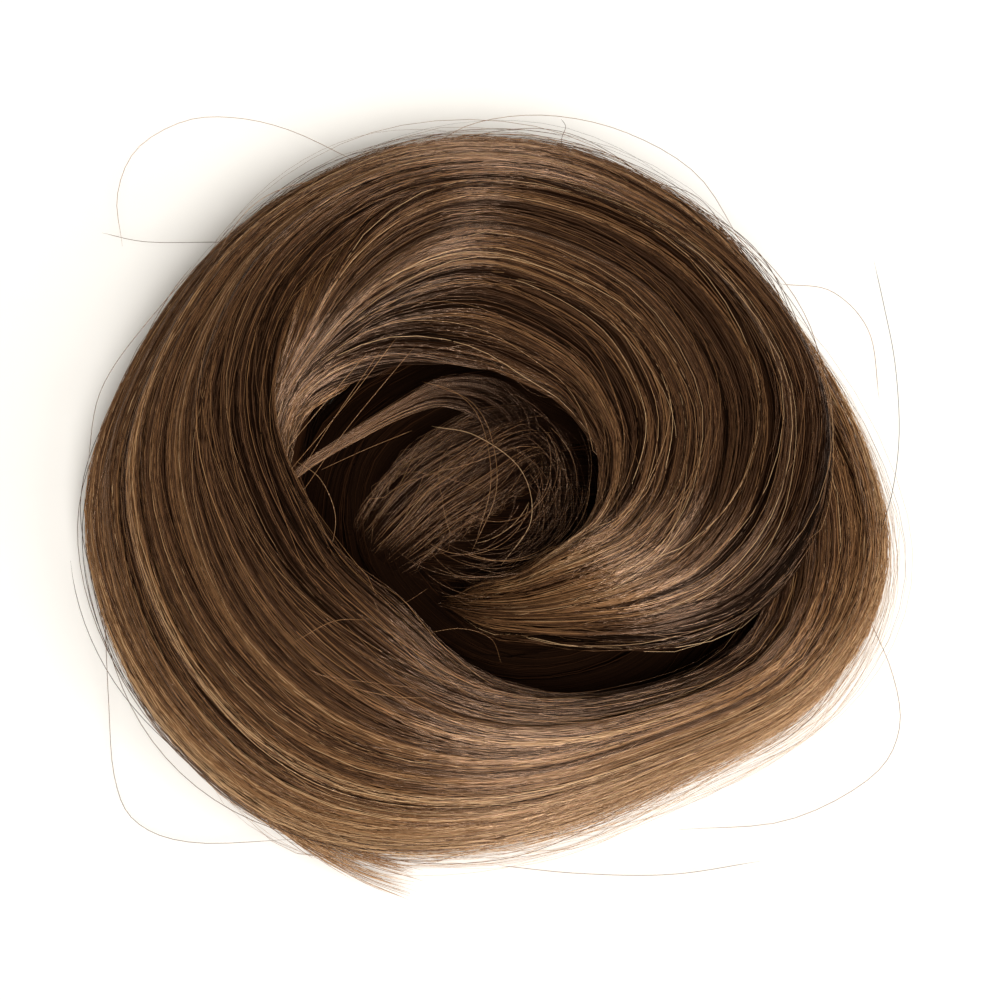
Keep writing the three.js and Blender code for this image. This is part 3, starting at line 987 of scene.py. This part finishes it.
class NEST_OT_weft(NestPiece, bpy.types.Operator):
    """Weave the band at the roots and sew its two rows of stitches"""

    bl_idname = "nest.sew_weft"
    bl_label = "Sew Weft"

    count: IntProperty(name="Stitches", description="Stitches in each row", default=13)
    size: FloatProperty(
        name="Stitch size", description="Thickness of a stitch",
        default=0.00022, unit="LENGTH")

    def execute(self, context):
        c = colours()
        woven = ribbed_material("woven_weft", c.weft, c.thread, spacing=0.0007, direction="X")
        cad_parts["weft_band"].material_slots[0].material = woven
        low, high = (Vector(corner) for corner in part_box("weft_band"))
        pitch = (high.x - low.x) / (self.count + 1)
        margin = 0.0018
        first = self.stitch(Vector((low.x + pitch, low.y + margin, low.z)))
        row_step = high.y - low.y - 2 * margin
        copies = [first]
        for i in range(1, 2 * self.count):
            step = (pitch * (i % self.count), row_step * (i // self.count), 0)
            copies.append(self.copy(first, step))
        bpy.ops.object.select_all(action="DESELECT")
        for stitch in copies:
            stitch.select_set(True)
        context.view_layer.objects.active = first
        bpy.ops.object.join()
        bpy.ops.object.transform_apply(location=True, rotation=True, scale=True)
        first.name = "weft_stitches"
        twisted = ribbed_material("sewing_thread", c.thread, c.weft, spacing=0.0002, direction="DIAGONAL")
        first.data.materials.append(twisted)
        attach(first, "root")
        return {"FINISHED"}

    def stitch(self, place):
        """One stitch: a short yarn whose two ends dip into the band."""
        bpy.ops.object.select_all(action="DESELECT")
        bpy.ops.mesh.primitive_cube_add(size=self.size, location=place)
        stitch = bpy.context.object
        run, slant, dip, narrowed = 4, 0.5, 0.6, 0.6
        for end in (-1, 1):
            bpy.ops.object.mode_set(mode="EDIT")
            bpy.ops.mesh.select_mode(type="FACE")
            bpy.ops.mesh.select_all(action="DESELECT")
            bpy.ops.object.mode_set(mode="OBJECT")
            for face in stitch.data.polygons:
                face.select = face.normal.x * end > 0.9
            bpy.ops.object.mode_set(mode="EDIT")
            reach = (run * self.size * end, slant * self.size * end, dip * self.size)
            bpy.ops.mesh.extrude_region_move(TRANSFORM_OT_translate={"value": reach})
            bpy.ops.transform.resize(value=(1, narrowed, narrowed))
            bpy.ops.object.mode_set(mode="OBJECT")
        rounding = stitch.modifiers.new("rounding", "SUBSURF")
        rounding.levels = rounding.render_levels = 2
        bpy.ops.object.modifier_apply(modifier=rounding.name)
        bpy.ops.object.shade_smooth()
        return stitch

    def copy(self, first, step):
        """The same stitch with its own mesh, one step along the row."""
        bpy.ops.object.select_all(action="DESELECT")
        first.select_set(True)
        bpy.context.view_layer.objects.active = first
        bpy.ops.object.duplicate(linked=False)
        bpy.ops.transform.translate(value=step)
        return bpy.context.object


class NEST_OT_clip(NestPiece, bpy.types.Operator):
    """Enamel the comb clip"""

    bl_idname = "nest.enamel_clip"
    bl_label = "Enamel Clip"

    def execute(self, context):
        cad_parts["snap_clip"].material_slots[0].material = enamel_material()
        return {"FINISHED"}


class NEST_OT_ring(NestPiece, bpy.types.Operator):
    """Comb the outer ring, from the roots round the front to its tips"""

    bl_idname = "nest.comb_ring"
    bl_label = "Comb Outer Ring"

    def execute(self, context):
        s = strands()
        comb_pieces(
            "ring_root_strands", "ring", 200, seed=s.seed, points=24, wisps=80, size=1.6,
            ends=((0.0, 0.03), (0.27, 0.33)), focus=0.2, tones=(0.40, 0.07, 0.10, 0.10), shades=RING_PAINTED_SHADING)
        comb_pieces(
            "ring_strands", "ring", s.ring_strands, pieces=3, seed=s.seed + 1, points=38, wisps=180,
            ends=((0.16, 0.24), (0.70, 1.0)), focus=0.55, tones=(0.47, 0.09, 0.13, 0.15), shades=RING_PAINTED_SHADING)
        comb_pieces(
            "ring_strays", "ring", 110, seed=s.seed + 2, points=30, wisps=90, size=0.55,
            ends=((0.25, 0.5), (0.6, 0.95)), focus=0.55, tones=(0.59, 0, 0, 0.15), stray=1.0, lift=0.0005)
        # The front fringe's light tone is painted light, the glow through its thin hairs at the front edge.
        comb_pieces(
            "front_fringe", "ring", s.fringe_hairs, seed=s.seed + 3, points=24, wisps=160, size=0.5,
            ends=((0.16, 0.34), (0.36, 0.52)), weight=outer_side, focus=0.4, tones=(0.86, 0.03, 0.06, 0.10),
            stray=0.3, fluff=0.0022)
        comb_pieces(
            "top_fringe", "ring", s.fringe_hairs // 3, seed=s.seed + 4, points=18, wisps=60, size=0.6,
            ends=((0.64, 0.76), (0.80, 0.96)), weight=outer_side, focus=0.8, tones=(0.58, 0.03, 0.06, 0.10),
            stray=0.3, fluff=0.0020)
        return {"FINISHED"}


class NEST_OT_crown(NestPiece, bpy.types.Operator):
    """Comb the crown lock, from the roots over the top and down into the eye"""

    bl_idname = "nest.comb_crown"
    bl_label = "Comb Crown Lock"

    def execute(self, context):
        s = strands()
        seed = s.seed + 10
        comb_pieces(
            "crown_strands", "crown", s.crown_strands, pieces=2, seed=seed, points=36, wisps=150,
            ends=((0.0, 0.06), (0.66, 1.0)), focus=0.4, tones=(0.42, 0.09, 0.13, 0.15), shades=CROWN_PAINTED_SHADING,
            gather=CROWN_OPENS)
        comb_pieces(
            "crown_strays", "crown", 100, seed=seed + 1, points=28, wisps=80, size=0.65,
            ends=((0.06, 0.35), (0.5, 0.95)), focus=0.4, tones=(0.68, 0, 0, 0.20), stray=1.0, lift=0.0005,
            gather=CROWN_OPENS)
        return {"FINISHED"}


class NEST_OT_eye(NestPiece, bpy.types.Operator):
    """Comb the locks that lie in the eye, and draw the loose hairs in it"""

    bl_idname = "nest.comb_eye"
    bl_label = "Comb Eye"

    def execute(self, context):
        s = strands()
        seed = s.seed + 20
        # The bed and the sill are combed in a very dark tone, painted shade in the hollow of the eye.
        comb_pieces(
            "bed_strands", "bed", 130, seed=seed, points=28, wisps=50, size=1.5,
            ends=((0, 0.1), (0.8, 1)), focus=0.5, tones=(0.07, 0.03, 0.05, 0.07), material=shaded_material)
        comb_pieces(
            "sill_strands", "sill", 100, seed=seed + 1, points=10, wisps=40, size=1.5,
            ends=((0, 0.1), (0.8, 1)), focus=0.5, tones=(0.07, 0.03, 0.05, 0.07), material=shaded_material)
        comb_pieces(
            "tuft_strands", "core", s.eye_strands, seed=seed + 2, points=14, wisps=140, size=0.6,
            ends=((0, 0.4), (0.45, 1)), focus=0.5, tones=(0.39, 0.05, 0.08, 0.12), shades=TUFT_PAINTED_SHADING,
            stray=0.12, wander=0.5, spread=1.2, sag=0.0014, tuck=0.0)
        comb_pieces(
            "tuft_hairs", "core", s.eye_strands // 6, seed=seed + 5, points=16, wisps=60, size=0.5,
            ends=((0, 0.5), (0.6, 1)), focus=0.5, tones=(0.60, 0, 0.06, 0.12), stray=0.5, wander=1.2,
            spread=2.0, lift=0.0006, sag=0.0006, tuck=0.0)
        comb_pieces(
            "hook_strands", "pale", 150, seed=seed + 3, points=24, wisps=70, size=0.65,
            ends=((0, 0.1), (0.5, 1)), focus=0.5, tones=(0.48, 0.03, 0.06, 0.10), shades=HOOK_PAINTED_SHADING,
            wander=0.5, sag=0.0008)
        self.arcs(seed + 4)
        return {"FINISHED"}

    def arcs(self, seed):
        """Fine hairs that have sprung loose and curve round inside the eye."""
        rng = np.random.default_rng(seed)
        count, points = 120, 24
        along = np.linspace(0, 1, points)[None]

        def ranging(first, change):
            """A value for each hair that starts in one range and changes by one in another along the hair."""
            return rng.uniform(*first, (count, 1)) + rng.uniform(*change, (count, 1)) * along

        turn = np.radians(ranging((110, 220), (50, 130)))
        radius = ranging((0.012, 0.022), (-0.004, 0.003))
        height = ranging((0.014, 0.022), (-0.006, 0.002))
        middle = rng.normal(0, 0.003, (2, count, 1)) + AXIS[:, None, None]
        x = middle[0] - radius * np.cos(turn)
        y = middle[1] + radius * np.sin(turn)
        routes = [smooth_run(route, along[0]) + (*AXIS, 0) for route in EYE_ROUTES.values()]
        paths = np.concatenate([np.stack([x, y, height], -1), routes])
        tone = np.concatenate([rng.normal(0.38, 0.20, count), rng.normal(0.78, 0.10, len(routes))])
        tone = np.clip(tone, 0.12, 0.98)
        width = 0.75 * strands().hair_width
        normals = np.broadcast_to(UP, paths.shape)
        strand_piece("eye_hairs", paths, normals, tone, np.full(len(paths), width), width)


class NEST_OT_tips(NestPiece, bpy.types.Operator):
    """Lay the tips that stand out from the front edge, as a thin fan"""

    bl_idname = "nest.lay_tips"
    bl_label = "Lay Front Tips"

    def execute(self, context):
        s = strands()
        rng = np.random.default_rng(s.seed + 30)
        count = 150
        along = np.linspace(0, 1, 14)[None]
        start = rng.uniform(0, 0.35, (count, 1))
        share = start + (rng.uniform(0.55, 1, (count, 1)) - start) * along
        rows = smooth_run(LOCKS["wisp"].rows, share)
        side = LOCKS["wisp"].outward(share, rows[..., :3])
        lean, spread, least, flare = 0.0002, 0.0020, -0.0026, 0.0010
        opening = 0.8 + 0.6 * along
        fan = np.maximum(rng.normal(lean, spread, (count, 1)), least) * opening
        fan = fan + rng.normal(0, flare, (count, 1)) * along**2
        paths = rows[..., :3] + side * fan[..., None] + (*AXIS, 0)
        droop = 0.0006
        paths[..., 2] += rng.uniform(-0.3, 0.5, (count, 1)) * rows[..., 4] - droop * along
        paths[..., 2] = np.maximum(paths[..., 2], s.floor_clearance)
        tone = np.clip(rng.normal(0.84, 0.10, count), 0.3, 0.98)
        width = s.strand_width * rng.uniform(0.5, 0.9, count)
        strand_piece("tip_strands", paths, np.broadcast_to(UP, paths.shape), tone, width, s.strand_thickness)
        return {"FINISHED"}


class NEST_OT_loose(NestPiece, bpy.types.Operator):
    """Draw the single hairs that stand off the nest"""

    bl_idname = "nest.draw_loose_hairs"
    bl_label = "Draw Loose Hairs"

    def execute(self, context):
        s = strands()
        rng = np.random.default_rng(s.seed + 40)
        share = np.linspace(0, 1, 24)
        paths = [smooth_run(from_turn(route), share) + (*AXIS, 0) for route in LOOSE_ROUTES.values()]
        paths += [self.rim_hair(rng, share) for _ in range(s.loose_hairs)]
        paths = np.stack(paths)
        paths[..., 2] = np.maximum(paths[..., 2], s.floor_clearance)
        normals = np.broadcast_to(UP, paths.shape)
        tone = np.clip(rng.normal(0.50, 0.15, len(paths)), 0.1, 0.95)
        strand_piece("loose_hairs", paths, normals, tone, np.full(len(paths), s.hair_width), s.hair_width)
        return {"FINISHED"}

    def rim_hair(self, rng, share):
        """One hair that leaves the ring's outer side, bows out and comes back or ends free."""
        lock = LOCKS["ring"]
        start = rng.choice([rng.uniform(*stretch) for stretch in RIM_STRETCHES])
        reach = rng.uniform(0.03, 0.16)
        side, swing = rng.uniform(-0.9, 1.0), rng.normal(0, 0.25)
        height, bends = rng.gamma(1.6, 0.0010), rng.uniform(0.5, 1.0)
        sunk = 0.0006
        angle = side - lock.drift * start + swing * share
        bow = height * np.sin(np.pi * share * bends) ** 2
        path, _ = lock.surface(start + reach * share, angle, bow - sunk)
        return path


class NEST_OT_stage(NestPiece, bpy.types.Operator):
    """Set the floor, the lights and the camera"""

    bl_idname = "nest.set_stage"
    bl_label = "Set Stage"

    def execute(self, context):
        s = stage()
        self.floor(s)
        target = Vector((*AXIS, 0) + np.array(TARGET_FROM_AXIS))
        self.camera(s, target)
        self.light("front_window", "SUN", FRONT_WINDOW, target, s.front_strength, angle=s.front_angle)
        self.light("side_window", "AREA", SIDE_WINDOW, target, s.side_power, size=0.5)
        self.light("overhead", "AREA", OVERHEAD, target, s.top_power, size=0.9)
        world = bpy.data.worlds.new("soft_room")
        world.use_nodes = True
        tree = world.node_tree
        feed(tree, tree.nodes["Background"], {"Color": ROOM_COLOUR, "Strength": s.ambient})
        context.scene.world = world
        context.scene.view_settings.view_transform = "Standard"
        context.scene.view_settings.look = "None"
        return {"FINISHED"}

    def floor(self, s):
        """A wide pale floor, with a faint mottle."""
        bpy.ops.object.select_all(action="DESELECT")
        bpy.ops.mesh.primitive_plane_add(size=6.0, location=(0, 0, 0))
        floor = bpy.context.object
        floor.name = "pale_floor"
        material, tree, shader = blank_material("pale_floor", Roughness=0.8, Specular_IOR_Level=0.2)
        place = node(tree, "ShaderNodeTexCoord")
        mottle = node(tree, "ShaderNodeTexNoise", Vector=place.outputs["Object"], Scale=60.0, Detail=4.0)
        darker = 0.96
        tint = blend(tree, mottle.outputs["Fac"], rgba(s.floor), rgba([c * darker for c in s.floor]))
        feed(tree, shader, {"Base Color": tint})
        floor.data.materials.append(material)

    def camera(self, s, target):
        """A camera in front of the nest, which looks down at it."""
        data = bpy.data.cameras.new("photo_camera")
        data.sensor_width = 36.0
        data.lens = data.sensor_width * s.distance / s.view_width
        data.clip_start = 0.01
        camera = bpy.data.objects.new("photo_camera", data)
        bpy.context.collection.objects.link(camera)
        back = Vector((0, -math.cos(s.elevation), math.sin(s.elevation)))
        camera.location = target + back * s.distance
        camera.rotation_euler = (math.pi / 2 - s.elevation, 0, 0)
        bpy.context.scene.camera = camera

    def light(self, name, kind, look, target, energy, **values):
        """A light with its place and colour, turned to the target."""
        place, colour = look
        data = bpy.data.lights.new(name, kind)
        data.energy, data.color = energy, colour
        for key, value in values.items():
            setattr(data, key, value)
        lamp = bpy.data.objects.new(name, data)
        bpy.context.collection.objects.link(lamp)
        lamp.location = place
        lamp.rotation_euler = (target - lamp.location).to_track_quat("-Z", "Y").to_euler()


class NEST_PT_panel(bpy.types.Panel):
    """Lists the steps that dress the nest."""

    bl_label = "Hair Nest"
    bl_idname = "NEST_PT_panel"
    bl_space_type = "VIEW_3D"
    bl_region_type = "UI"
    bl_category = "Nest"

    def draw(self, context):
        for operator in OPERATORS:
            self.layout.operator(operator.bl_idname)
        for name, group in SETTINGS.items():
            box = self.layout.box()
            for prop in group.__annotations__:
                box.prop(getattr(context.scene, name), prop)


OPERATORS = (
    NEST_OT_stage, NEST_OT_weft, NEST_OT_clip, NEST_OT_cores, NEST_OT_ring, NEST_OT_crown, NEST_OT_eye,
    NEST_OT_tips, NEST_OT_loose,
)
CLASSES = (*SETTINGS.values(), *OPERATORS, NEST_PT_panel)


def register():
    for cls in CLASSES:
        bpy.utils.register_class(cls)
    for name, group in SETTINGS.items():
        setattr(bpy.types.Scene, name, PointerProperty(type=group))


def unregister():
    for name in SETTINGS:
        delattr(bpy.types.Scene, name)
    for cls in reversed(CLASSES):
        bpy.utils.unregister_class(cls)


def main():
    register()
    for operator in OPERATORS:
        family, action = operator.bl_idname.split(".")
        getattr(getattr(bpy.ops, family), action)()


if __name__ == "__main__":
    main()
